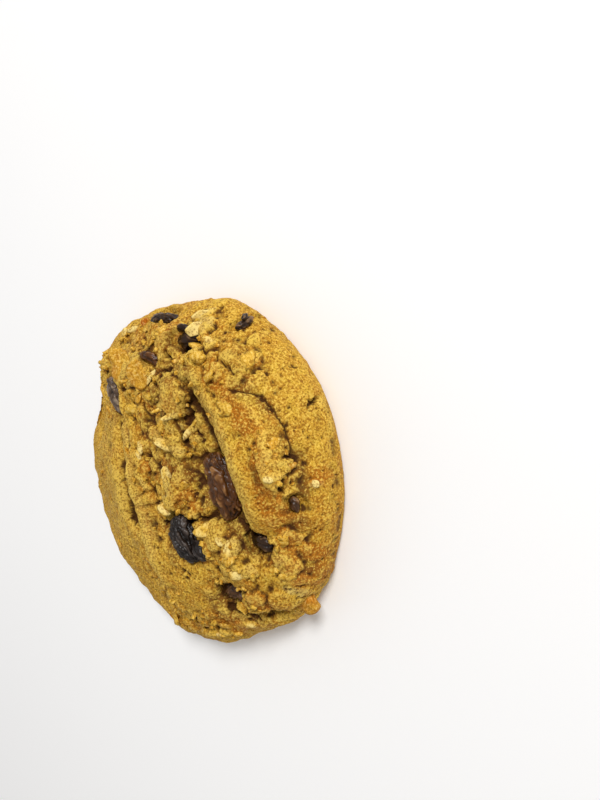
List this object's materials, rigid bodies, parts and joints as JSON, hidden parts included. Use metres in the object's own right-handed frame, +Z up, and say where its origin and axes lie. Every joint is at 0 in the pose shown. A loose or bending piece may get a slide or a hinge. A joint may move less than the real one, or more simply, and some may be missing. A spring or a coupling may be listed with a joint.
{
  "type": "oatmeal raisin cookie",
  "caption": "Thick round drop cookie of baked oat dough with a folded, cracked crown, a flat base and wrinkled raisins set in its crust.",
  "frame": {"origin": "point of the flat base under the middle of the crown", "axes": "+Z up from the flat base through the domed crown, -Y towards the side with the folded ridge and the high shoulder, +X along the ridge"},
  "size_m": [0.0768, 0.0816, 0.0202],
  "materials": {
    "crust": "baked golden brown, matt, porous and crumbly",
    "raisin": "dark wrinkled skin, half gloss"
  },
  "bodies": {
    "root": {"cookie": "crust", "raisin_large": "raisin", "raisin_by_ridge": "raisin", "raisin_in_hole": "raisin", "raisin_at_rim": "raisin", "raisin_in_hollow": "raisin", "raisin_sliver": "raisin", "raisin_far_side": "raisin", "raisin_flat": "raisin", "raisin_in_crack": "raisin", "raisin_under_lobe": "raisin"}
  },
  "joints": []
}
